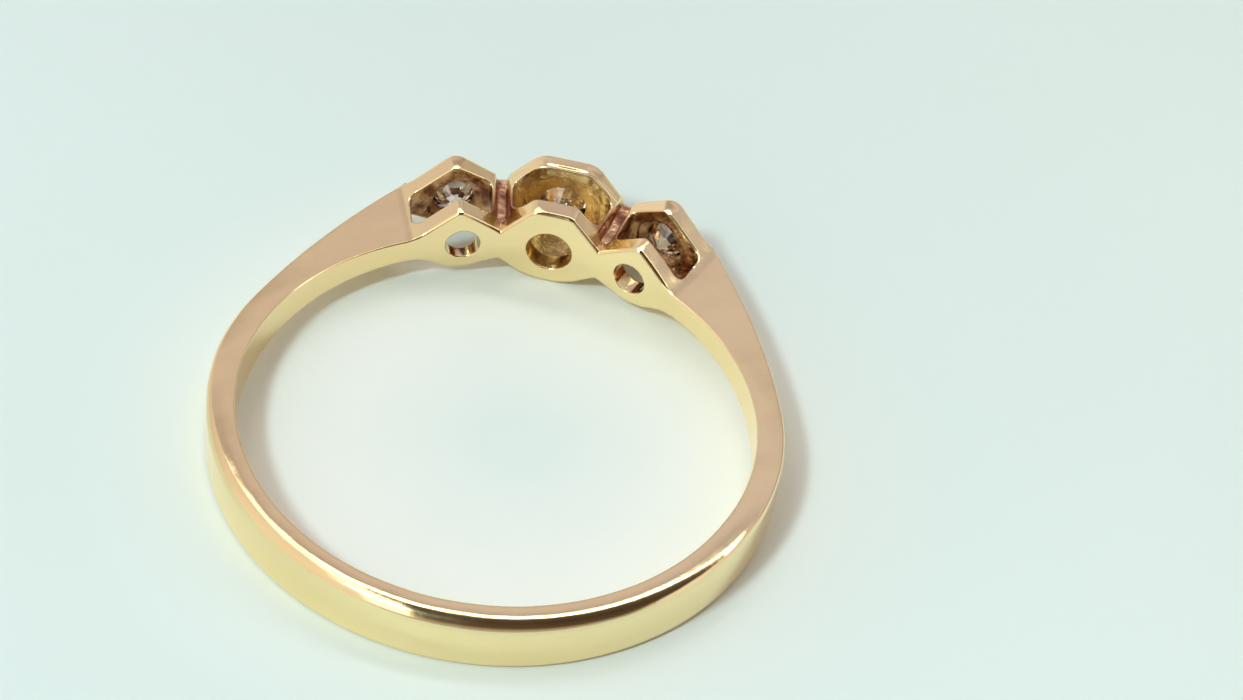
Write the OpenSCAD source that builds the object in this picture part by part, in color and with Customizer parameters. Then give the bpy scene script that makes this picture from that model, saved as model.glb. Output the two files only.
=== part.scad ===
// Three stone ring, lying on its side. Millimetres, +Z up.
// The head points along +Y, the back of the band along -Y.

/* [Finger and band] */
// Inside diameter of the band
finger_diameter = 17; // [15:0.1:21]
// Thickness of the band behind the finger
band_thickness = 0.93; // [0.75:0.01:1.2]
// Width of the band at the back
band_width = 1.94; // [1.4:0.02:2.6]
// Width of the band where it meets the head
neck_width = 0.9; // [0.7:0.02:1.1]
// Rounding of the band's outer edges
edge_round = 0.25; // [0.1:0.01:0.3]
// Angle from the head's middle at which the shoulder runs out into the band
shoulder_end = 73; // [71:1:80]

/* [Head] */
// Height of the head over the finger, measured outwards
head_height = 3; // [2.7:0.02:3.4]
// Thickness of the inner plate with the drilled holes
plate_thickness = 0.7; // [0.5:0.01:0.8]
// Height of the rim that holds each stone
rim_height = 0.6; // [0.5:0.01:0.7]
// Length of the middle, eight sided collet on the finger side
middle_length = 3.36; // [3:0.02:3.7]
// Length of each outer, six sided collet on the finger side
outer_length = 2.98; // [2.7:0.02:3.3]
// Overall length of the three rims
rim_span = 10.96; // [10.3:0.02:11.6]
// Peak height of the middle collet at the plate, half of its depth
middle_peak = 1.73; // [1.5:0.01:1.9]
// Peak height of the outer collets at the plate, half of their depth
outer_peak = 1.53; // [1.35:0.01:1.7]
// How much the peaks spread from the plate to the rim
peak_spread = 0.12; // [0:0.01:0.25]
// How much lower the peaks of the under side are filed
under_trim = 0.38; // [0:0.01:0.45]
// Half depth of the valley between two collets
valley_half = 0.62; // [0.5:0.01:0.75]
// Depth of the groove cut in each valley
groove_depth = 0.14; // [0.05:0.01:0.2]
// Width of the groove between two collets
groove_width = 0.46; // [0.3:0.01:0.6]
// Width of the struts beside the groove
strut_width = 0.17; // [0.15:0.01:0.35]
// Height of the wall that closes the middle collet on the under side
under_wall = 0.32; // [0.25:0.01:0.45]

/* [Stones] */
// Diameter of the middle stone
middle_stone = 2; // [1.7:0.02:2.2]
// Diameter of each side stone
side_stone = 1.8; // [1.5:0.02:2]
// Drilled hole behind the middle stone
middle_hole = 1.6; // [1.2:0.02:1.9]
// Drilled hole behind each side stone
side_hole = 1.2; // [0.9:0.02:1.4]
// Clearance between a stone and its seat
seat_gap = 0.04; // [0.03:0.005:0.06]

/* [Hidden] */

bore_r = finger_diameter / 2;
band_r = bore_r + band_thickness;
head_r = bore_r + head_height;
plate_r = bore_r + plate_thickness;
rim_r = head_r - rim_height;
corner_r = head_r - 0.12;

// angles round the finger, from the head's middle
valley_a = asin(middle_length / 2 / bore_r);
outer_a = valley_a + asin(outer_length / 2 / bore_r);
neck_a = valley_a + 2 * asin(outer_length / 2 / bore_r);
corner_a = asin(rim_span / 2 / corner_r);
rim_peak_a = (valley_a + corner_a) / 2;
seat_a = rim_peak_a;
flat_a = 0.43 * valley_a;

// the shoulder's big circle goes through the corner of the rims and runs smoothly into the band
shoulder_d = corner_r * cos(shoulder_end - corner_a);
shoulder_r = (corner_r * corner_r + band_r * band_r - 2 * band_r * shoulder_d) / (2 * (band_r - shoulder_d));

half_band = band_width / 2;
half_neck = neck_width / 2;
groove_floor = valley_half - groove_depth;
hole_lift = 0.05;

// where the taper of the band starts and ends
taper_back = -2;
taper_front = 6.4;
taper_a = atan((half_band - half_neck) / (taper_front - taper_back));

// the lie of the ring on its side: it stands on the middle rim and on the back of the band
rest_y = head_r * cos(flat_a);
rest_z = -(middle_peak + peak_spread - 0.02 - under_trim);
arc_y = -(band_r - edge_round);
arc_z = -(half_band - edge_round);
reach = sqrt(pow(rest_y - arc_y, 2) + pow(rest_z - arc_z, 2));
tilt = -(atan2(rest_z - arc_z, rest_y - arc_y) + asin(edge_round / reach));
lift = -(arc_y * sin(tilt) + arc_z * cos(tilt)) + edge_round;
centre_y = (head_r - band_r) / 2 + 0.03;

GOLD = [0.84, 0.66, 0.40];
STONE = [0.92, 0.94, 0.95];

function at(r, a, z) = [r * sin(a), r * cos(a), z];
function flat_at(r, a) = [r * sin(a), r * cos(a)];
function turn(length, r) = length / r * 180 / PI;

module resting() {
    translate([0, -centre_y, lift]) rotate([tilt, 0, 0]) children();
}

// turns a thing that points along +Y round the finger
module toward(a, z = 0) {
    translate([0, 0, z]) rotate([0, 0, -a]) children();
}

// lays a thing drawn along +Z along +Y, at a distance from the finger's middle
module outward(distance) {
    translate([0, distance, 0]) rotate([-90, 0, 0]) children();
}

// a collet's body between its outline on the finger side and its outline at the rim
// each row is an angle, the upper height, the under height and a radius
module collet(low, high) {
    n = len(low);
    polyhedron(
        points = concat(
            [for (p = low) at(p[3], p[0], p[1])],
            [for (p = low) at(p[3], p[0], p[2])],
            [for (p = high) at(p[3], p[0], p[1])],
            [for (p = high) at(p[3], p[0], p[2])]),
        faces = concat(
            [for (i = [0 : n - 2]) [2 * n + i, 3 * n + i, 3 * n + i + 1, 2 * n + i + 1]],
            [for (i = [0 : n - 2]) [i, i + 1, n + i + 1, n + i]],
            [for (i = [0 : n - 2]) [i, 2 * n + i, 2 * n + i + 1]],
            [for (i = [0 : n - 2]) [i, 2 * n + i + 1, i + 1]],
            [for (i = [0 : n - 2]) [n + i, 3 * n + i + 1, 3 * n + i]],
            [for (i = [0 : n - 2]) [n + i, n + i + 1, 3 * n + i + 1]],
            [[2 * n, 0, n, 3 * n]],
            [[n - 1, 3 * n - 1, 4 * n - 1, 2 * n - 1]]));
}

module middle_collet() {
    s = valley_half - 0.07;
    e = valley_a + 0.4;
    up = middle_peak;
    dn = under_trim - middle_peak;
    r0 = bore_r - 0.3;
    w = peak_spread - 0.02;
    collet(
        [[-e, s, -s, r0], [-flat_a, up, dn, r0], [flat_a, up, dn, r0], [e, s, -s, r0]],
        [[-e, s, -s, head_r - 0.05], [-flat_a, up + w, dn - w, head_r],
            [flat_a, up + w, dn - w, head_r], [e, s, -s, head_r - 0.05]]);
}

module outer_collet() {
    up = outer_peak;
    dn = under_trim - outer_peak;
    r0 = bore_r - 0.3;
    w = peak_spread + 0.03;
    collet(
        [[valley_a, valley_half, -valley_half, r0], [outer_a, up, dn, r0],
            [neck_a, half_neck, -half_neck, r0]],
        [[valley_a, valley_half, -valley_half, head_r - 0.04],
            [rim_peak_a, up + w, dn - w, head_r - 0.04],
            [corner_a, half_neck, -half_neck, corner_r]]);
}

// a disc as wide as the band, with a rounded upper edge
module round_disc(r, below) {
    c = edge_round;
    rotate_extrude($fn = 240) {
        translate([0, -below]) square([r, below + half_band - c]);
        translate([0, half_band - c - 0.01]) square([r - c, c + 0.01]);
        translate([r - c, half_band - c]) circle(c, $fn = 48);
    }
}

// the same disc, tapered towards the head
module tapered_disc() {
    translate([0, taper_back, half_band]) rotate([-taper_a, 0, 0])
        translate([0, -taper_back, -half_band]) round_disc(band_r + 0.03, 3);
}

module band() {
    intersection() {
        round_disc(band_r, 3);
        mirror([0, 0, 1]) round_disc(band_r, 3);
        tapered_disc();
        mirror([0, 0, 1]) tapered_disc();
    }
}

// the shoulder swells out of the band along a bigger circle, up to the corner of the rims
module shoulder() {
    intersection() {
        translate(at(band_r - shoulder_r, shoulder_end, -2)) cylinder(h = 4, r = shoulder_r, $fn = 480);
        translate([0, 0, -2]) linear_extrude(4) polygon([
            flat_at(corner_r, corner_a), flat_at(corner_r, (corner_a + shoulder_end) / 2),
            flat_at(band_r + 1, shoulder_end), flat_at(bore_r * 0.85, shoulder_end),
            flat_at(bore_r * 0.85, min(corner_a, neck_a) - 1)]);
        translate([-20, 0, 0]) rotate([90, 0, 90]) linear_extrude(40) polygon([
            [-20, half_band], [taper_back, half_band], [taper_front, half_neck], [20, half_neck],
            [20, -half_neck], [taper_front, -half_neck], [taper_back, -half_band], [-20, -half_band]]);
    }
}

// the groove between two collets, cut into the solid metal of the valley
module groove() {
    toward(valley_a) outward(plate_r - 0.2) linear_extrude(4) polygon([
        [-groove_width / 3, -groove_floor], [groove_width / 3, -groove_floor],
        [groove_width / 2, -groove_floor - 0.5], [groove_width / 2, -3],
        [-groove_width / 2, -3], [-groove_width / 2, -groove_floor - 0.5]]);
}

// the windows of the gallery, between the plate and the rim: the middle one is closed below
module middle_window() {
    side = groove_width / 2 + strut_width;
    b = valley_a - turn(side, plate_r);
    t = valley_a - turn(side, rim_r);
    difference() {
        translate([0, 0, -4]) linear_extrude(8) polygon([
            flat_at(plate_r * 0.98, -b), flat_at(rim_r, -t), flat_at(rim_r, -flat_a),
            flat_at(rim_r, flat_a), flat_at(rim_r, t), flat_at(plate_r * 0.98, b)]);
        cylinder(h = 20, r = plate_r, center = true, $fn = 128);
    }
}

module outer_window() {
    side = groove_width / 2 + strut_width;
    b = valley_a + turn(side, plate_r);
    t = valley_a + turn(side, rim_r);
    difference() {
        translate([0, 0, -4]) linear_extrude(8) polygon([
            flat_at(plate_r * 0.98, b), flat_at(rim_r - 0.03, t), flat_at(rim_r - 0.03, rim_peak_a),
            flat_at(rim_r - 0.12, corner_a + 0.4), flat_at(plate_r * 0.98, neck_a - 0.5)]);
        cylinder(h = 20, r = plate_r, center = true, $fn = 128);
    }
}

// the seat follows the stone with its clearance, a lip lies over the stone's edge
module seat(d) {
    g = seat_gap;
    r = d / 2;
    rotate_extrude($fn = 96) polygon([
        [0, -0.88 * r - 1.32 * g], [r + g, -0.46 * g], [r + g, 0.06 * r + 0.51 * g],
        [0.56 * r, 0.45 * r + 1.24 * g], [0, 0.45 * r + 1.24 * g]]);
}

// a hollow behind the stone, dished from the window side
module dish(d) {
    cylinder(h = 0.14, r1 = d / 2 + 0.22, r2 = d / 2 - 0.22, $fn = 96);
}

module drilled(d) {
    outward(bore_r - 1) cylinder(h = 1 + plate_thickness + 0.4, r = d / 2, $fn = 96);
}

middle_seat = head_r * cos(flat_a) - 0.2;
side_seat = head_r - 0.04 - 0.2;

module both() {
    children();
    mirror([1, 0, 0]) children();
}

module ring_mount() {
    color(GOLD) resting() difference() {
        union() {
            band();
            both() shoulder();
            both() outer_collet();
            middle_collet();
        }
        cylinder(h = 20, r = bore_r, center = true, $fn = 256);
        both() groove();
        intersection() {
            middle_window();
            translate([0, 0, under_wall]) middle_collet();
        }
        both() outer_window();
        toward(0, hole_lift) drilled(middle_hole);
        both() toward(seat_a, hole_lift) drilled(side_hole);
        outward(rim_r * cos(flat_a) - 0.01) dish(middle_stone);
        outward(middle_seat) seat(middle_stone);
        both() toward(seat_a) outward(rim_r - 0.1) dish(side_stone);
        both() toward(seat_a) outward(side_seat) seat(side_stone);
    }
}

// a round cut stone: a table with eight corners, star, main and girdle facets, and a point behind
module cut_stone(d) {
    r = d / 2;
    top = 0.06 * r;
    crown = 0.33 * r;
    deep = 0.86 * r;
    star = 0.80;
    low = 0.25;
    points = concat(
        [for (i = [0 : 7]) [0.58 * r * cos(45 * i), 0.58 * r * sin(45 * i), top + crown]],
        [for (i = [0 : 7]) [star * r * cos(45 * i + 22.5), star * r * sin(45 * i + 22.5),
            top + crown * (1 - star * cos(22.5)) / 0.42]],
        [for (i = [0 : 15]) [r * cos(22.5 * i), r * sin(22.5 * i), top]],
        [for (i = [0 : 15]) [r * cos(22.5 * i), r * sin(22.5 * i), 0]],
        [for (i = [0 : 7]) [low * r * cos(45 * i + 22.5), low * r * sin(45 * i + 22.5),
            -deep * (1 - low * cos(22.5))]],
        [[0, 0, -deep]]);
    hull() polyhedron(points = points, faces = [for (i = [0 : 3 : len(points) - 3]) [i, i + 1, i + 2]]);
}

module stone_left() {
    color(STONE) resting() mirror([1, 0, 0]) toward(seat_a) outward(side_seat) cut_stone(side_stone);
}

module stone_middle() {
    color(STONE) resting() outward(middle_seat) cut_stone(middle_stone);
}

module stone_right() {
    color(STONE) resting() toward(seat_a) outward(side_seat) cut_stone(side_stone);
}

ring_mount();
stone_left();
stone_middle();
stone_right();
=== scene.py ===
import math
import bpy
import numpy as np
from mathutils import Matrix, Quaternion, Vector


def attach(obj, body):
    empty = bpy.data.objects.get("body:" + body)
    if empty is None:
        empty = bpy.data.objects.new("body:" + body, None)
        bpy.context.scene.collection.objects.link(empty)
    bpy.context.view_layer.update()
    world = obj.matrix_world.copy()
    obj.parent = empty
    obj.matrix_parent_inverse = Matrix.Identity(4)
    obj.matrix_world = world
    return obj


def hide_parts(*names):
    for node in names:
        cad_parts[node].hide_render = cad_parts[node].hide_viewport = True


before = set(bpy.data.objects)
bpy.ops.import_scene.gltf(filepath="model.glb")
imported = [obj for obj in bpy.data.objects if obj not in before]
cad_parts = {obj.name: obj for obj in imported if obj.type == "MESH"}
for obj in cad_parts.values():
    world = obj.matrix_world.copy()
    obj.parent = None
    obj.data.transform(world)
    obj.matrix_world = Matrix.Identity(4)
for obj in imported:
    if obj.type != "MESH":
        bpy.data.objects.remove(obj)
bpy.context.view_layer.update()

# The ring's metal is one distance function in mm, in ring coordinates: the finger's axis is Z and the
# head points along +Y. Angles are in degrees, from +Y towards +X. The near side, seen in the photo, is +Z.

# Radii from the finger's axis
BORE = 8.5
BAND = BORE + 0.93      # the band's outside
PLATE = BORE + 0.7      # the outside of the plate behind the stones
HEAD = BORE + 3.0       # the middle collet's corners
RIM = HEAD - 0.6        # the under sides of the rims
EDGE = HEAD - 0.04      # the outer collets' rims
CORNER = HEAD - 0.12    # the outer collets' outer corners
ROOT = 8.2              # inside the bore, where the collets' facets are set out

# Angles round the finger
VALLEY_A = math.degrees(math.asin(3.36 / 2 / BORE))             # between the collets
OUTER_A = VALLEY_A + math.degrees(math.asin(2.98 / 2 / BORE))   # the outer collets' peaks at the finger
NECK_A = 2 * OUTER_A - VALLEY_A                                 # their outer ends at the finger
CORNER_A = math.degrees(math.asin(10.96 / 2 / CORNER))          # their outer corners at the rim
PEAK_A = (VALLEY_A + CORNER_A) / 2                              # their peaks at the rim
FLAT_A = 0.43 * VALLEY_A                                        # the ends of the middle collet's flat top

# The shoulder is a part of a big circle, from the rim's outer corner to where it runs into the band
SHOULDER_END = 73.0
SHOULDER_D = CORNER * math.cos(math.radians(SHOULDER_END - CORNER_A))
SHOULDER_R = (CORNER ** 2 + BAND ** 2 - 2 * BAND * SHOULDER_D) / (2 * (BAND - SHOULDER_D))
SHOULDER_FOOT = .3      # how far it reaches into the outer collet

# Heights from the middle of the ring, and half widths along the finger
HALF_BAND = 0.97
HALF_NECK = 0.45
VALLEY_Z = 0.62
MIDDLE_Z = 1.73         # the middle collet's peak at the finger
OUTER_Z = 1.53          # the outer collets' peaks at the finger
SPREAD = 0.12           # how much higher the peaks are at the rim
HEX_MORE = {1: .09, -1: .03}    # and what the near and far peaks of the outer and the middle collets add
OCT_MORE = {1: .01, -1: -.02}
TRIM = 0.38             # how much lower the far peaks are
UNDER_WALL = 0.32       # the wall that closes the middle collet on its far side

# The taper of the band: where it starts and ends along Y, and the bends there, in share of its length
TAPER_BACK = -2.0
TAPER_FRONT = 6.4
TAPER_BEND = .22
FLANK_SLOPE = .9985     # keeps the distance right on the tapered side

# The fillet where the outer collets rise from the shoulders
FOOT_BEND = .40
FOOT_GROWS = (5.0, 6.5)         # along Y
NEAR_FOOT, FAR_FOOT = .85, .9   # how much of the fillet reaches the near and the far facets

# The crown of the band's side, and the slanting strip along its near outer edge at the back
CROWN = .03
CROWN_MIDDLE, CROWN_HALF = 8.95, .45
CROWN_FADES = (1.0, 6.0)        # along Y
STRIP = .12
STRIP_START, STRIP_ROUND, STRIP_LIFT = 8.9, .1, .05
STRIP_SLANT_START = 9.0
STRIP_GROWS = (-1.0, 6.0)       # towards the back, against Y

# Radii of rounded edges
BAND_SOFT, NEAR_SOFT, FAR_SOFT = .10, .27, .05      # all round, and what the back adds on the near and far edges
SOFT_GROWS = (-1.0, 7.5)                            # towards the back
PEAK_SOFT, PEAK_SOFT_OUT = .16, .28                 # the near peaks, and what they add towards the rim
PEAK_GROWS = (10.6, 11.3)                           # outward
OCT_PEAK = .7                                       # the share of it on the middle collet
HEX_FAR_SOFT, OCT_FAR_SOFT = .45, .35
RIM_SOFT, SHOULDER_SOFT, VALLEY_SOFT = .20, .08, .02
BORE_SOFT, BORE_SOFT_PLATE, BORE_SOFT_BACK = .05, .085, .03
PLATE_ENDS, BACK_GROWS = (27.0, 33.0), (0.0, 6.0)   # angles, and against Y
WINDOW_CORNER, WINDOW_SOFT = (.45, .30), (.085, .075)   # the middle window, the outer ones
FLOOR_SOFT, GROOVE_SOFT, HOLE_SOFT, BOWL_SOFT, WEAR_SOFT = .15, .035, .03, .12, .015

# Grooves between the collets, and the windows beside them
GROOVE_Z = 0.42
GROOVE_HALF, GROOVE_WIDER, GROOVE_UP = .19, .12, .5     # it widens by a share of the way up
GROOVE_SLOPE = .99
GROOVE_FLOOR_SOFT, GROOVE_END_SOFT = .10, .2
GROOVE_START = 9.0
GROOVE_WIDTH, STRUT_WIDTH, STRUT_THINNER = 0.46, 0.17, .03
STRUT_SIDE = GROOVE_WIDTH / 2 + STRUT_WIDTH - STRUT_THINNER     # from the middle of the groove to the window
WINDOW_FOOT = PLATE * .97

# Drilled holes, stones and what holds them: radii, and how far out the girdles are
HOLE_LIFT = 0.05
HOLE_MIDDLE, HOLE_HALF = 8.6, 1.0
MIDDLE_HOLE, OUTER_HOLE = .8, .6
MIDDLE_STONE, OUTER_STONE = 1.0, .9
MIDDLE_TOP = HEAD * math.cos(math.radians(FLAT_A))
MIDDLE_SEAT = MIDDLE_TOP - 0.2
SIDE_SEAT = EDGE - 0.2
SEAT_GAP = .04

# Hollows in the rims' under sides: where they start and their half sizes across, along the finger and outward
MIDDLE_BOWL = (RIM * math.cos(math.radians(FLAT_A)), (1.70, 1.55, .17))
OUTER_BOWL = (RIM - .09, (1.00, 1.05, .27))
BOWL_BACK, BOWL_SCALE = 9.6, 1.6

# The left window flares under its near side, and a web is left in the outer end of the right one
FLARE, FLARE_GROWS = .24, (-.3, .7)     # downward
WEB_Z, WEB_A, WEB_SCALE = .35, 22.0, .17
WEB_PAST = -40.0        # no angle past the web counts for more
NOTHING = -9.0          # a distance that takes nothing away

# Pits in the plate: place and half sizes
PITS = [((-2.47, 8.80, 1.06), (.11, .09, .08)),
        ((-2.33, 8.85, .99), (.06, .06, .05))]
# The worn corners of the rims and the plate: a place on each, the way it faces and its depth
WORN = [((-3.701, 10.073, 1.626), (.0725, -.1762, .9817), .027),
        ((-.86, 10.775, 1.814), (-.1202, -.1940, .9736), .016),
        ((3.76, 10.066, 1.624), (.0335, -.1785, .9834), .026),
        ((-3.115, 8.02, 1.496), (.0699, -.1702, .9829), .014),
        ((-.66, 8.60, 1.717), (-.1199, -.1875, .9749), .012),
        ((3.10, 8.06, 1.502), (.0373, -.1723, .9843), .014)]
WORN_REACH = .4

# The grid that the mesh is made on: its step, its parts round the back, its reach and the head's share of it
NET_STEP, NET_ROUND_BACK = ((.042, 300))
NET_RADII, NET_HEIGHTS = (8.36, 11.62), (-1.98, 2.02)
HEAD_ARC, HEAD_MIDDLE = 36.0, 10.2
MOST_TRIANGLES = 185000

# How the ring lies in the frame: turned about X and shifted, in mm
TILT = math.radians(1.3321652)
REST = np.array([0.0, -1.065, 1.1832273])


def polar(radius, angle, z=0.0):
    a = math.radians(angle)
    return np.array([radius * math.sin(a), radius * math.cos(a), z])


def turn(length, radius):
    return math.degrees(length / radius)


def rmax(a, b, r):
    """Keeps what is inside both, with an edge of radius r."""
    return np.minimum(np.maximum(a, b), -r) + np.hypot(np.maximum(a + r, 0.0), np.maximum(b + r, 0.0))


def rmin(a, b, r):
    """Joins both, with a fillet of radius r."""
    return -rmax(-a, -b, r)


def smooth(v, a, b):
    """From 0 at a to 1 at b, with soft ends."""
    t = np.clip((v - a) / (b - a), 0.0, 1.0)
    return t * t * (3.0 - 2.0 * t)


def bend(v, w):
    """Zero before 0 and v after it, with a bend of half width w between."""
    return np.where(v < -w, 0.0, np.where(v > w, v, (v + w) ** 2 / (4.0 * w)))


def facet(*corners):
    """The plane nearest to the corners, with the ring's middle inside: normal and offset."""
    c = np.array(corners)
    mid = c.mean(0)
    n = np.linalg.svd(c - mid)[2][2]
    if n @ mid < 0:
        n = -n
    return n, n @ mid


def side(plane, x, y, z):
    """Distance from a plane, negative inside."""
    n, d = plane
    return n[0] * x + n[1] * y + n[2] * z - d


def slope_to_side(plane):
    """A plane's slope against the finger's axis."""
    n = plane[0]
    return np.hypot(n[0], n[1]) / abs(n[2])


def roof(planes, x, y, z, soft, lift=0.0):
    """What is inside two facets that meet in a rounded edge, with the second one lifted."""
    return rmax(side(planes[0], x, y, z), side(planes[1], x, y, z) - lift, soft)


def edge2(p, q, inside, x, y):
    """Distance from the line p-q in the XY plane, negative on the side of the point inside."""
    d = (q - p)[:2]
    n = np.array([d[1], -d[0]]) / np.hypot(*d)
    if n @ (inside[:2] - p[:2]) > 0:
        n = -n
    return n[0] * (x - p[0]) + n[1] * (y - p[1])


def facets(low, high, sign):
    """Facets between a collet's outline at the finger and at the rim; rows of angle, height and radius."""
    return [facet(polar(ROOT, a0, sign * z0), polar(ROOT, a1, sign * z1),
                  polar(radius, b0, sign * y0), polar(radius, b1, sign * y1))
            for (a0, z0), (a1, z1), (b0, y0, radius), (b1, y1, _) in zip(low, low[1:], high, high[1:])]


def six_sides(top, sign):
    """The two facets of an outer collet on its near (1) or far (-1) side."""
    rim = top + SPREAD + HEX_MORE[sign]
    return facets([(VALLEY_A, VALLEY_Z), (OUTER_A, top), (NECK_A, HALF_NECK)],
                  [(VALLEY_A, VALLEY_Z, EDGE), (PEAK_A, rim, EDGE), (CORNER_A, HALF_NECK, CORNER)], sign)


def eight_sides(top, sign):
    """The flat facet of the middle collet and the one beside it, on its near (1) or far (-1) side."""
    # it ends a little inside the outer collet
    end, low, end_radius = VALLEY_A + .4, VALLEY_Z - .07, HEAD - .05
    rim = top + SPREAD + OCT_MORE[sign]
    return facets([(-FLAT_A, top), (FLAT_A, top), (end, low)],
                  [(-FLAT_A, rim, HEAD), (FLAT_A, rim, HEAD), (end, low, end_radius)], sign)


HEX_UP, HEX_DN = six_sides(OUTER_Z, 1), six_sides(OUTER_Z - TRIM, -1)
OCT_UP, OCT_DN = eight_sides(MIDDLE_Z, 1), eight_sides(MIDDLE_Z - TRIM, -1)
FRONT = (np.array([0.0, 1.0, 0.0]), MIDDLE_TOP)
MIDDLE = np.zeros(3)

# The head's outline on the right, from the middle collet's flat top to the shoulder
TOP = [polar(HEAD, FLAT_A), polar(EDGE, VALLEY_A), polar(EDGE, PEAK_A), polar(CORNER, CORNER_A)]

# The windows' outlines
SIDE_B = VALLEY_A - turn(STRUT_SIDE, PLATE)
SIDE_T = VALLEY_A - turn(STRUT_SIDE, RIM)
MIDDLE_WINDOW = [polar(WINDOW_FOOT, -SIDE_B), polar(RIM, -SIDE_T), polar(RIM, -FLAT_A),
                 polar(RIM, FLAT_A), polar(RIM, SIDE_T), polar(WINDOW_FOOT, SIDE_B)]
OUTER_WINDOW = [polar(WINDOW_FOOT, VALLEY_A + turn(STRUT_SIDE, PLATE)),
                polar(RIM - .10, VALLEY_A + turn(STRUT_SIDE, RIM)), polar(RIM - .16, PEAK_A),
                polar(RIM - .27, CORNER_A + .1), polar(WINDOW_FOOT, NECK_A - .5)]


def local(angle, x, y):
    """Across and outward coordinates of a frame turned to an angle."""
    a = math.radians(angle)
    return x * math.cos(a) - y * math.sin(a), x * math.sin(a) + y * math.cos(a)


def half_width(y):
    """Half the band's width, with soft bends where the taper starts and ends."""
    share = (y - TAPER_BACK) / (TAPER_FRONT - TAPER_BACK)
    return HALF_BAND - (bend(share, TAPER_BEND) - bend(share - 1.0, TAPER_BEND)) * (HALF_BAND - HALF_NECK)


def foot_fillet(ax, y, z):
    """How far the fillet lifts the sides where an outer collet rises from its shoulder."""
    foot = edge2(polar(ROOT, NECK_A), TOP[3], MIDDLE, ax, y)
    lift = (bend(-foot, FOOT_BEND) - np.maximum(-foot, 0.0)) * smooth(y, *FOOT_GROWS)
    return lift * np.where(z > 0, slope_to_side(HEX_UP[1]), slope_to_side(HEX_DN[1]))


def side_crown(y, rho):
    """How far the band's near side falls away towards its edges."""
    crown = CROWN * (1.0 - smooth(y, *CROWN_FADES)) * ((rho - CROWN_MIDDLE) / CROWN_HALF) ** 2
    strip = (STRIP_LIFT * np.clip((rho - STRIP_START) / STRIP_ROUND, 0.0, 1.0) ** 2
             + np.maximum(rho - STRIP_SLANT_START, 0.0))
    return crown + STRIP * smooth(-y, *STRIP_GROWS) * strip


def shoulder_circle(ax, y):
    centre = polar(BAND - SHOULDER_R, SHOULDER_END)
    return np.hypot(ax - centre[0], y - centre[1]) - SHOULDER_R


def band(ax, y, z, rho, circle, fill):
    """The band with its shoulders."""
    flank = (np.abs(z) - half_width(y) - fill + side_crown(y, rho) * (z > 0)) * FLANK_SLOPE
    wedge = np.maximum(circle, edge2(polar(20, SHOULDER_END), MIDDLE, polar(20, 0), ax, y))
    wedge = np.maximum(wedge, edge2(TOP[3], TOP[3] * .5, polar(8, 60), ax, y) - SHOULDER_FOOT)
    wedge = np.maximum(wedge, edge2(TOP[2], TOP[3], MIDDLE, ax, y))
    soft = BAND_SOFT + np.where(z > 0, NEAR_SOFT, FAR_SOFT) * smooth(-y, *SOFT_GROWS)
    return rmax(flank, np.minimum(rho - BAND, wedge), soft)


def collets(ax, y, z, rho, circle, fill):
    """The three collets uncut, then their sides alone and the head's outside alone."""
    out = side(FRONT, ax, y, z)
    for p, q in zip(TOP, TOP[1:]):
        out = np.maximum(out, edge2(p, q, MIDDLE, ax, y))
    peak = PEAK_SOFT + PEAK_SOFT_OUT * smooth(rho, *PEAK_GROWS)
    six = np.maximum(roof(HEX_UP, ax, y, z, peak, fill * NEAR_FOOT),
                     roof(HEX_DN, ax, y, z, HEX_FAR_SOFT, fill * FAR_FOOT))
    eight = np.maximum(roof(OCT_UP, ax, y, z, peak * OCT_PEAK), roof(OCT_DN, ax, y, z, OCT_FAR_SOFT))
    hull = np.minimum(six, eight)
    six = rmax(rmax(six, out, RIM_SOFT), circle, SHOULDER_SOFT)
    eight = rmax(eight, out, RIM_SOFT)
    return rmin(six, eight, VALLEY_SOFT), hull, out


def window(points, x, y, rho, corner):
    """A window's outline, with rounded corners; the plate closes it towards the finger."""
    w = np.maximum(PLATE - rho, -y)
    mid = np.mean(points, 0)
    for p, q in zip(points, points[1:] + points[:1]):
        p_out, q_out = np.hypot(*p[:2]), np.hypot(*q[:2])
        if min(p_out, q_out) < PLATE and abs(p_out - q_out) < .1:
            continue    # this side lies in the plate
        w = rmax(w, edge2(p, q, mid, x, y), corner)
    return w


def middle_opening(x, y, z, rho, ax):
    closed = np.maximum(side(OCT_DN[0], ax, y, z - UNDER_WALL), side(OCT_DN[1], ax, y, z - UNDER_WALL))
    return rmax(window(MIDDLE_WINDOW, x, y, rho, WINDOW_CORNER[0]), closed, FLOOR_SOFT)


def outer_openings(x, y, z, rho, ax):
    beyond = np.maximum(WEB_A - np.degrees(np.arctan2(x, y)), WEB_PAST) * -WEB_SCALE
    web = np.where(x > 0, np.minimum(side(HEX_DN[1], ax, y, z - WEB_Z), beyond), NOTHING)
    flare = np.where(x < 0, FLARE * smooth(-z, *FLARE_GROWS), 0.0)
    return np.maximum(window(OUTER_WINDOW, ax, y, rho, WINDOW_CORNER[1]) - flare, web)


def grooves(ax, y, z):
    s, w = local(VALLEY_A, ax, y)
    wall = (np.abs(s) - GROOVE_HALF - np.clip(z - GROOVE_Z, 0.0, GROOVE_UP) * GROOVE_WIDER) * GROOVE_SLOPE
    return rmax(rmax(wall, GROOVE_Z - z, GROOVE_FLOOR_SOFT), GROOVE_START - w, GROOVE_END_SOFT)


def drilled(angle, radius, x, y, z):
    s, w = local(angle, x, y)
    return np.maximum(np.hypot(s, z - HOLE_LIFT) - radius, np.abs(w - HOLE_MIDDLE) - HOLE_HALF)


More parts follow.
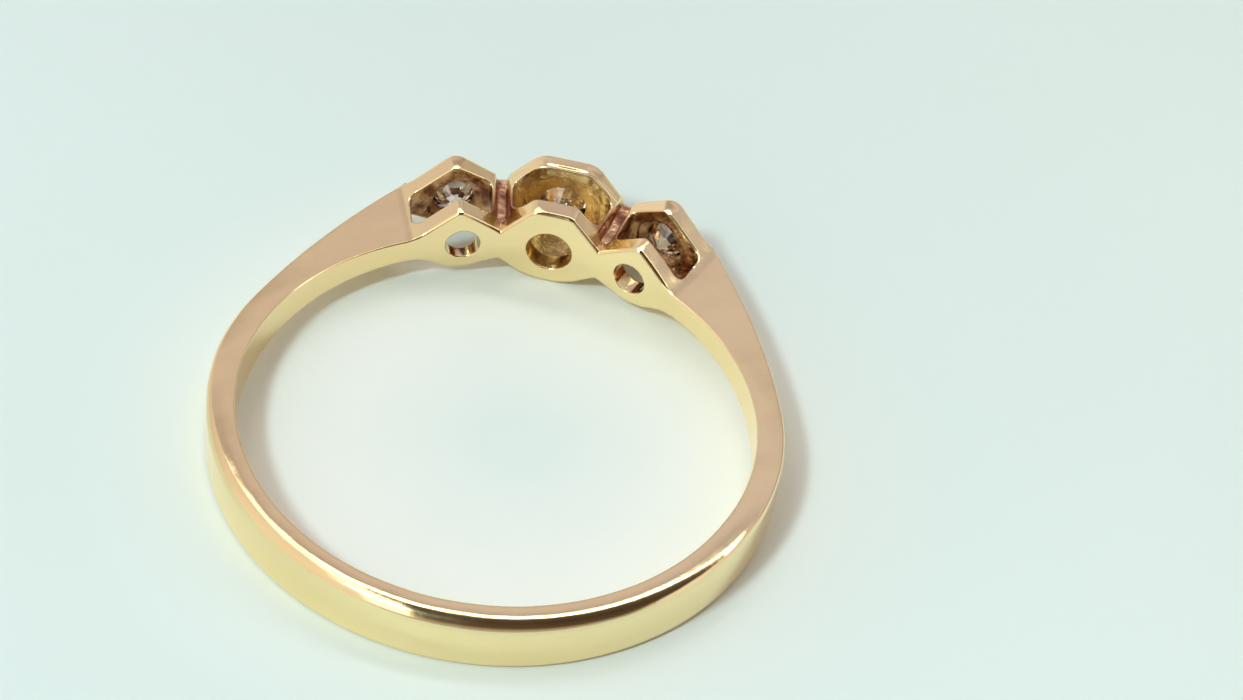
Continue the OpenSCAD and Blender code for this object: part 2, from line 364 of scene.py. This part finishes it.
def bowl(angle, start, size, x, y, z):
    """A hollow in the under side of a rim."""
    s, w = local(angle, x, y)
    q = np.sqrt((s / size[0]) ** 2 + (z / size[1]) ** 2 + ((w - start) / size[2]) ** 2)
    return np.maximum((q - 1.0) * size[2] * BOWL_SCALE, BOWL_BACK - w)


def seat(angle, radius, girdle, x, y, z):
    """The seat follows the stone's outline with its gap, as in the CAD."""
    s, w = local(angle, x, y)
    profile = [(0, -.88 * radius - 1.32 * SEAT_GAP), (radius + SEAT_GAP, -.46 * SEAT_GAP),
               (radius + SEAT_GAP, .06 * radius + .51 * SEAT_GAP), (.56 * radius, .45 * radius + 1.24 * SEAT_GAP)]
    cut = np.full_like(x, NOTHING)
    for (a, b), (c, d) in zip(profile, profile[1:]):
        line = edge2(np.array([a, b, 0.0]), np.array([c, d, 0.0]), MIDDLE, np.hypot(s, z), w - girdle)
        cut = np.maximum(cut, line)
    return cut


def pit(centre, size, x, y, z):
    return np.sqrt(sum(((v - c) / r) ** 2 for v, c, r in zip((x, y, z), centre, size))) * min(size) - min(size)


def worn_flat(place, facing, depth, x, y, z):
    """What stands above a worn corner's flat."""
    dx, dy, dz = x - place[0], y - place[1], z - place[2]
    above = facing[0] * dx + facing[1] * dy + facing[2] * dz + depth
    return np.minimum(above, WORN_REACH - np.sqrt(dx * dx + dy * dy + dz * dz))


def wave(x, y, z):
    """The slight unevenness of hand polished metal."""
    return (.0030 * np.sin(1.9 * x + .7 * y + .3) * np.cos(1.3 * z + .9 * x)
            + .0022 * np.sin(3.1 * y - 2.3 * x + 1.1)
            + .0007 * np.sin(5.3 * x + 4.1 * y - 3.7 * z)
            + .0004 * np.sin(9.1 * z + 7.7 * x - 5.9 * y))


def metal(x, y, z, masks=False):
    """Distance from the metal's surface; with masks also from the collets' sides, the axis and the head's outside."""
    ax = np.abs(x)
    rho = np.hypot(x, y)
    circle = shoulder_circle(ax, y)
    fill = foot_fillet(ax, y, z)
    head, hull, out = collets(ax, y, z, rho, circle, fill)
    f = np.minimum(head, band(ax, y, z, rho, circle, fill))
    plate = 1.0 - smooth(np.degrees(np.arctan2(ax, y)), *PLATE_ENDS)
    f = rmax(f, BORE - rho, BORE_SOFT + BORE_SOFT_PLATE * plate + BORE_SOFT_BACK * smooth(-y, *BACK_GROWS))
    f = rmax(f, -middle_opening(x, y, z, rho, ax), WINDOW_SOFT[0])
    f = rmax(f, -outer_openings(x, y, z, rho, ax), WINDOW_SOFT[1])
    f = rmax(f, -grooves(ax, y, z), GROOVE_SOFT)
    f = rmax(f, -drilled(0, MIDDLE_HOLE, x, y, z), HOLE_SOFT)
    f = rmax(f, -drilled(PEAK_A, OUTER_HOLE, ax, y, z), HOLE_SOFT)
    f = rmax(f, -bowl(0, *MIDDLE_BOWL, x, y, z), BOWL_SOFT)
    f = np.maximum(f, -seat(0, MIDDLE_STONE, MIDDLE_SEAT, x, y, z))
    f = rmax(f, -bowl(PEAK_A, *OUTER_BOWL, ax, y, z), BOWL_SOFT)
    f = np.maximum(f, -seat(PEAK_A, OUTER_STONE, SIDE_SEAT, ax, y, z))
    for centre, size in PITS:
        f = rmax(f, -pit(centre, size, x, y, z), WEAR_SOFT)
    for place, facing, depth in WORN:
        f = rmax(f, worn_flat(place, facing, depth, x, y, z), WEAR_SOFT)
    f = f + wave(x, y, z)
    return (f, hull, rho, np.maximum(out, circle)) if masks else f


def mesh_of(fun, theta, radius, height):
    """Surface net over a grid that runs round the finger: vertices in mm and four cornered faces."""
    nt, nr, nz = len(theta), len(radius), len(height)
    v = np.empty((nt, nr, nz), np.float32)
    slab = 64
    for i in range(0, nt, slab):
        t, r, h = np.meshgrid(theta[i:i + slab], radius, height, indexing="ij")
        v[i:i + slab] = fun(r * np.sin(t), r * np.cos(t), h)

    def cell(i, j, k):
        return ((i % nt) * (nr - 1) + j) * (nz - 1) + k

    total = nt * (nr - 1) * (nz - 1)
    sums, count, faces = np.zeros((3, total)), np.zeros(total), []
    for axis in range(3):
        a = v if axis == 0 else v[:, :-1] if axis == 1 else v[:, :, :-1]
        b = np.roll(v, -1, 0) if axis == 0 else v[:, 1:] if axis == 1 else v[:, :, 1:]
        i, j, k = np.nonzero((a < 0) != (b < 0))
        va, vb = a[i, j, k].astype(float), b[i, j, k].astype(float)
        t = va / (va - vb)
        th, r, h = theta[i].copy(), radius[j].copy(), height[k].copy()
        if axis == 0:
            th += t * ((theta[(i + 1) % nt] - theta[i]) % (2 * np.pi))
            around = [(0, -1, -1), (0, 0, -1), (0, 0, 0), (0, -1, 0)]
        elif axis == 1:
            r += t * (radius[j + 1] - radius[j])
            around = [(-1, 0, -1), (-1, 0, 0), (0, 0, 0), (0, 0, -1)]
        else:
            h += t * (height[k + 1] - height[k])
            around = [(-1, -1, 0), (0, -1, 0), (0, 0, 0), (-1, 0, 0)]
        p = (r * np.sin(th), r * np.cos(th), h)
        cells = np.stack([cell(i + di, j + dj, k + dk) for di, dj, dk in around], 1)
        for c in cells.T:
            count += np.bincount(c, minlength=total)
            for n in range(3):
                sums[n] += np.bincount(c, weights=p[n], minlength=total)
        cells[va > 0] = cells[va > 0][:, ::-1]
        faces.append(cells)
    used = np.nonzero(count)[0]
    order = np.full(total, -1)
    order[used] = np.arange(len(used))
    return (sums[:, used] / count[used]).T, order[np.concatenate(faces)]


def slope_of(fun, p, h=.002):
    """The function's gradient, from differences over h to each side."""
    g = np.empty_like(p)
    for n in range(3):
        d = np.zeros(3)
        d[n] = h
        g[:, n] = fun(*(p + d).T) - fun(*(p - d).T)
    return g / (2 * h)


def settle(fun, p, rounds):
    """Moves points onto the surface, by short steps."""
    longest, least_slope = .03, .05
    for _ in range(rounds):
        g = slope_of(fun, p)
        step = (fun(*p.T) / np.maximum((g * g).sum(1), least_slope))[:, None] * g
        long = np.linalg.norm(step, axis=1, keepdims=True)
        p = p - step * np.minimum(1.0, longest / np.maximum(long, 1e-9))
    return p


def row_vector(p):
    """Turned from ring coordinates to the frame's: the ring lies on its side."""
    c, s = math.cos(TILT), math.sin(TILT)
    return np.stack([p[:, 0], p[:, 1] * c - p[:, 2] * s, p[:, 1] * s + p[:, 2] * c], 1)


def row(p):
    """From ring coordinates in mm to the frame in metres."""
    return (row_vector(p) + REST) / 1000.0


def thinned(thing, limit):
    """Takes an object's mesh down to a number of triangles, where it has more."""
    mesh = thing.data
    triangles = sum(len(p.vertices) - 2 for p in mesh.polygons)
    if triangles <= limit:
        return mesh
    thin = thing.modifiers.new("thin", "DECIMATE")
    thin.ratio = limit / float(triangles)
    fewer = bpy.data.meshes.new_from_object(thing.evaluated_get(bpy.context.evaluated_depsgraph_get()))
    thing.modifiers.clear()
    thing.data = fewer
    bpy.data.meshes.remove(mesh)
    fewer.name = thing.name
    return fewer


def masks_of(points, normals):
    """Where shade and reflections are painted on the metal and where it is unpolished, each from 0 to 1 at every
    vertex.
    """
    reaches = (.15, .3, .6)
    shut = np.zeros(len(points))    # 0 in the open, 1 deep in a corner
    for reach in reaches:
        shut += np.clip(1.0 - metal(*(points + normals * reach).T) / reach, 0.0, 1.0) / float(len(reaches))
    _, hull, rho, out = metal(*points.T, masks=True)
    x, y, z = points.T
    under_facets, off_outside = smooth(-hull, .03, .12), smooth(-out, .05, .14)

    # the windows' insides, with the far walls that face up
    inside = under_facets * smooth(rho, PLATE - .03, PLATE + .05) * off_outside
    low, faces_up = smooth(-z, .15, .35), smooth(normals[:, 2], .05, .3)
    floorward = low * faces_up * smooth(rho, PLATE - .1, PLATE + .02) * smooth(y, 8.0, 8.6) * off_outside
    outer = smooth(np.abs(np.degrees(np.arctan2(x, y))), 9.0, 11.0)

    # the walls of the drilled holes, between the finger and the windows
    drill = under_facets * (1.0 - smooth(rho, PLATE - .14, PLATE)) * smooth(rho, BORE + .02, BORE + .12)

    # the grooves, and the valleys round their feet: on the right the valley is wider towards the middle
    across, _ = local(VALLEY_A, np.abs(x), y)
    in_groove, high = smooth(-np.abs(across), -.24, -.19), smooth(z, .40, .85)
    groove = in_groove * high * smooth(rho, 9.0, 9.5) * smooth(-hull, .0, .05)
    wider = np.where((x > 0) & (across < 0), .30, 0.0)
    near_valley, off_plate = 1.0 - smooth(np.abs(across) - wider, .45, .85), smooth(rho, 9.08, 9.26)
    below_rim, above_far, below_peaks = 1.0 - smooth(rho, 9.9, 10.6), smooth(z, .1, .3), 1.0 - smooth(z, 1.05, 1.4)
    valley = near_valley * off_plate * below_rim * above_far * below_peaks
    return {"valley": valley, "shut_in": shut, "inside": np.maximum(inside, floorward), "outer_collet": outer,
            "drill": drill, "groove": groove}


def ring_metal():
    """The mount as one mesh, fine round the head and coarser round the band."""
    head = np.radians(HEAD_ARC)
    round_head = int(2 * head * HEAD_MIDDLE / NET_STEP)
    theta = np.concatenate([np.linspace(-head, head, round_head, endpoint=False),
                            np.linspace(head, 2 * np.pi - head, NET_ROUND_BACK, endpoint=False)])
    points, quads = mesh_of(metal, theta, np.arange(*NET_RADII, NET_STEP), np.arange(*NET_HEIGHTS, NET_STEP))
    points = settle(metal, points, rounds=4)
    mesh = bpy.data.meshes.new("ring_metal")
    mesh.from_pydata(points.tolist(), [], quads.tolist())
    thing = bpy.data.objects.new("ring_metal", mesh)
    bpy.context.scene.collection.objects.link(thing)
    mesh = thinned(thing, MOST_TRIANGLES)
    flat = np.empty(len(mesh.vertices) * 3, np.float32)
    mesh.vertices.foreach_get("co", flat)
    points = settle(metal, flat.reshape(-1, 3).astype(float), rounds=2)
    slopes = slope_of(metal, points)
    normals = slopes / np.linalg.norm(slopes, axis=1, keepdims=True)
    mesh.vertices.foreach_set("co", row(points).astype(np.float32).ravel())
    for name, values in masks_of(points, normals).items():
        mesh.attributes.new(name, "FLOAT", "POINT").data.foreach_set("value", values.astype(np.float32))
    mesh.polygons.foreach_set("use_smooth", np.ones(len(mesh.polygons), bool))
    mesh.update()
    mesh.normals_split_custom_set_from_vertices(row_vector(normals).tolist())
    print("mesh:", len(mesh.vertices), "vertices", sum(len(p.vertices) - 2 for p in mesh.polygons), "triangles")
    return thing


class Nodes:
    """Short ways to add the nodes that a material or the room is made of."""

    def __init__(self, owner):
        owner.use_nodes = True
        self.tree = owner.node_tree
        self.shader = self.tree.nodes.get("Principled BSDF") or self.tree.nodes["Background"]

    def put(self, node, socket, value):
        """A link where the value is another node's output, and otherwise the socket's own value."""
        if isinstance(value, bpy.types.NodeSocket):
            self.tree.links.new(value, node.inputs[socket])
        else:
            node.inputs[socket].default_value = value

    def add(self, kind, inputs, **settings):
        node = self.tree.nodes.new("ShaderNode" + kind)
        for name, value in settings.items():
            setattr(node, name, value)
        for socket, value in inputs.items():
            self.put(node, socket, value)
        return node

    def shade(self, **inputs):
        """Sets the shader's inputs, by their names with _ for each space."""
        for name, value in inputs.items():
            self.put(self.shader, name.replace("_", " "), value)

    def place(self, kind="Object"):
        return self.add("TexCoord", {}).outputs[kind]

    def split(self, vector):
        return self.add("SeparateXYZ", {"Vector": vector}).outputs

    def noise(self, place, scale, detail=4.0, rough=.5):
        node = self.add("TexNoise", {"Vector": place, "Scale": scale, "Detail": detail, "Roughness": rough})
        return node.outputs["Fac"]

    def ramp(self, value, stops):
        node = self.add("ValToRGB", {"Fac": value})
        elements = node.color_ramp.elements
        while len(elements) < len(stops):
            elements.new(.5)
        for element, (position, colour) in zip(elements, stops):
            element.position = position
            element.color = (*colour, 1)
        return node.outputs["Color"]

    def mask(self, name):
        return self.add("Attribute", {}, attribute_name=name).outputs["Fac"]

    def mix(self, share, a, b):
        """The colour a, and b where the share is 1."""
        return self.add("Mix", {"Factor": share, 6: a, 7: b}, data_type="RGBA").outputs[2]

    def ranged(self, value, low, high, to_low=0.0, to_high=1.0, kind="LINEAR"):
        limits = {"Value": value, "From Min": low, "From Max": high, "To Min": to_low, "To Max": to_high}
        return self.add("MapRange", limits, interpolation_type=kind).outputs["Result"]

    def soft_range(self, value, low, high):
        return self.ranged(value, low, high, kind="SMOOTHSTEP")

    def number(self, operation, *values):
        return self.add("Math", dict(enumerate(values)), operation=operation).outputs["Value"]


# Stops of the colour ramps: positions along a noise, and colours. The right gold is lighter by painted light; the
# ramps of the corners, the windows' insides, the valleys, the grooves and the drilled holes are painted shade and
# reflection, and the floor's warm ramp is painted light.
GOLD_LEFT = [(.3, (.95, .750, .405)), (.7, (.985, .790, .440))]
GOLD_RIGHT = [(.3, (.985, .800, .450)), (.7, (1.0, .83, .48))]
SHADE_IN_CORNERS = [(.35, (.50, .29, .13)), (.7, (.72, .48, .24))]
MIDDLE_INSIDE_SHADE = [(.36, (.66, .47, .23)), (.5, (.82, .61, .32)), (.64, (.93, .73, .43))]
OUTER_INSIDE_SHADE = [(.40, (.25, .10, .055)), (.5, (.50, .262, .138)), (.60, (.86, .56, .34))]
TAN = [(.40, (.42, .23, .13)), (.62, (.68, .44, .28))]
GROOVE_SHADE = [(.40, (.22, .09, .06)), (.62, (.62, .36, .22))]
DRILL_REFLECTION = [(.4, (.62, .50, .26)), (.6, (.95, .78, .44))]
FLOOR_LEFT = [(.3, (.775, .885, .838)), (.7, (.800, .905, .862))]
FLOOR_RIGHT = [(.3, (.83, .945, .885)), (.7, (.855, .965, .91))]
FLOOR_WARM = [(.35, (.97, .985, .90)), (.65, (1.0, 1.0, .92))]


def gold():
    """Polished gold, painted a little lighter to the right, with painted shade in its corners and in its unpolished
    insides.
    """
    material = bpy.data.materials.new("polished_gold")
    n = Nodes(material)
    place = n.place()
    broad = n.noise(place, 350.0)
    # painted light: the gold turns lighter towards the right
    to_right = n.ranged(n.split(place)["X"], -.006, .009)
    base = n.mix(to_right, n.ramp(broad, GOLD_LEFT), n.ramp(broad, GOLD_RIGHT))
    # painted shade, darker the more shut in a corner is
    shade_in_corners = n.ranged(n.mask("shut_in"), .45, .95, to_high=.75)
    colour = n.mix(shade_in_corners, base, n.ramp(n.noise(place, 1800.0), SHADE_IN_CORNERS))
    # painted shade inside the windows: golden in the middle collet and brown in the outer ones
    inside = n.mask("inside")
    blotch = n.noise(place, 1700.0, 5.0, .6)
    kind = n.mix(n.mask("outer_collet"), n.ramp(blotch, MIDDLE_INSIDE_SHADE), n.ramp(blotch, OUTER_INSIDE_SHADE))
    colour = n.mix(inside, colour, kind)
    # painted shade in the valleys and grooves, and painted reflection on the drilled holes' walls
    for name, stops in (("valley", TAN), ("groove", GROOVE_SHADE), ("drill", DRILL_REFLECTION)):
        colour = n.mix(n.mask(name), colour, n.ramp(blotch, stops))
    polish = n.ranged(n.noise(place, 900.0, 6.0, .6), .35, .7, .10, .17)
    rough = n.number("MULTIPLY_ADD", inside, .14, polish)
    scratches = n.add("Bump", {"Strength": .12, "Distance": .00002, "Height": n.noise(place, 5200.0, 3.0)})
    lumps = n.add("Bump", {"Strength": inside, "Distance": .00009, "Height": n.noise(place, 2300.0, 4.0),
                           "Normal": scratches.outputs["Normal"]})
    n.shade(Base_Color=colour, Metallic=1.0, Roughness=rough, Normal=lumps.outputs["Normal"])
    return material


def stone(name, dark, light):
    material = bpy.data.materials.new(name)
    n = Nodes(material)
    tint = n.ramp(n.noise(n.place(), 900.0), [(.35, dark), (.7, light)])
    n.shade(Base_Color=tint, Transmission_Weight=1.0, IOR=2.2, Roughness=.01)
    return material


def pale_floor():
    """Paler to the right, with a warm light patch inside the ring."""
    material = bpy.data.materials.new("pale_floor")
    n = Nodes(material)
    place = n.place()
    broad = n.noise(place, 40.0, 2.0)
    to_right = n.ranged(n.split(place)["X"], -.002, .022)
    pale = n.mix(to_right, n.ramp(broad, FLOOR_LEFT), n.ramp(broad, FLOOR_RIGHT))
    middle = (.0008, REST[1] / 1000 + .0006, 0.0)
    away = n.add("VectorMath", {0: place, 1: middle}, operation="DISTANCE").outputs["Value"]
    glow = n.ramp(n.number("MULTIPLY", away, 50.0),
                  [(at, (v, v, v)) for at, v in ((.06, .15), (.31, .8), (.43, .9), (.56, .25), (.74, 0.0))])
    warm = n.ramp(n.noise(place, 260.0, 3.0), FLOOR_WARM)
    n.shade(Base_Color=n.mix(glow, pale, warm), Roughness=.55)
    return material


mount = ring_metal()
mount.data.materials.clear()
mount.data.materials.append(gold())
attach(mount, "root")
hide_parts("ring_mount")

# The stones are the CAD's own, tinted with painted reflection of the gold round them: brown on the right, pink on the
# left
for name, look in (("stone_left", stone("cut_stone_left", (.88, .73, .67), (.98, .90, .87))),
                   ("stone_middle", stone("cut_stone", (.97, .93, .88), (1.0, 1.0, .98))),
                   ("stone_right", stone("cut_stone_right", (.68, .54, .36), (.86, .75, .56)))):
    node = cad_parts[name]
    node.data.materials.clear()
    node.data.materials.append(look)

FLOOR = .8
floor_mesh = bpy.data.meshes.new("floor")
floor_mesh.from_pydata([(-FLOOR, -FLOOR, 0), (FLOOR, -FLOOR, 0), (FLOOR, FLOOR, 0), (-FLOOR, FLOOR, 0)], [],
                       [(0, 1, 2, 3)])
floor = bpy.data.objects.new("floor", floor_mesh)
bpy.context.scene.collection.objects.link(floor)
floor_mesh.materials.append(pale_floor())

# The room's colours by the angle in degrees from the far horizon, over the ring, to the near horizon.
# Its dark part lies behind the camera.
HALF_TURN = 180.0
WHITE = (3.9, 3.9, 3.7)
MIDDLE_SKY = [(0, (.80, .74, .74)), (27, (.36, .30, .31)), (36, (.54, .48, .53)), (42, (.68, .61, .69)),
              (46, (.61, .54, .63)), (51, (.48, .42, .49)), (57, (.42, .37, .43)), (60, (1.4, 1.35, 1.3)),
              (62, WHITE), (67, WHITE), (70, (.35, .28, .24)), (78, (.09, .065, .05)), (110, (.06, .04, .03)),
              (150, (.10, .07, .05)), (172, (.45, .40, .36))]
SIDE_SKY = [(0, (.86, .78, .76)), (40, (.70, .63, .65)), (90, (.88, .79, .77)), (150, (.92, .84, .78)),
            (180, (.86, .80, .74))]


def room():
    world = bpy.data.worlds.new("room")
    bpy.context.scene.world = world
    n = Nodes(world)
    x, y, z = n.split(n.place("Generated"))
    angle = n.number("DIVIDE", n.number("ARCTAN2", z, y), math.pi)
    middle, sides = (n.ramp(angle, [(at / HALF_TURN, colour) for at, colour in stops])
                     for stops in (MIDDLE_SKY, SIDE_SKY))
    to_sides = n.number("MAXIMUM", n.soft_range(n.number("MULTIPLY", x, -1.0), .36, .50), n.soft_range(x, .87, .94))
    # a narrow light strip on the left
    strip_across = n.soft_range(n.number("ABSOLUTE", n.number("SUBTRACT", x, -.33)), .15, .09)
    strip_along = n.soft_range(n.number("ABSOLUTE", n.number("SUBTRACT", angle, .64)), .33, .28)
    strip = n.number("MULTIPLY", strip_across, strip_along)
    n.shade(Color=n.mix(strip, n.mix(to_sides, middle, sides), (1.75, 1.69, 1.62, 1)), Strength=1.0)


def key_light():
    """The one lamp, behind the camera on the left, aimed at the ring."""
    light = bpy.data.lights.new("key", "AREA")
    light.shape = "RECTANGLE"
    light.size = light.size_y = .034
    light.energy = .280
    light.color = (.61, .865, .935)
    lamp = bpy.data.objects.new("key", light)
    place, aim = Vector((-.088, -.131, .20)), Vector((0, 0, .001))
    lamp.location = place
    lamp.rotation_mode = "QUATERNION"
    lamp.rotation_quaternion = (aim - place).to_track_quat("-Z", "Y")
    bpy.context.scene.collection.objects.link(lamp)


def photo_camera():
    """The camera that was fitted to the photo."""
    data = bpy.data.cameras.new("camera")
    data.sensor_fit = "HORIZONTAL"
    data.sensor_width = 36.0
    data.lens = 100.470
    data.clip_start, data.clip_end = .005, 5.0
    camera = bpy.data.objects.new("camera", data)
    camera.location = (.01013439, -.08060730, .08144538)
    camera.rotation_mode = "QUATERNION"
    camera.rotation_quaternion = Quaternion((.91258311, .39437034, -.01417307, .10706642))
    bpy.context.scene.collection.objects.link(camera)
    bpy.context.scene.camera = camera


room()
key_light()
photo_camera()
bpy.context.scene.view_settings.view_transform = "Standard"
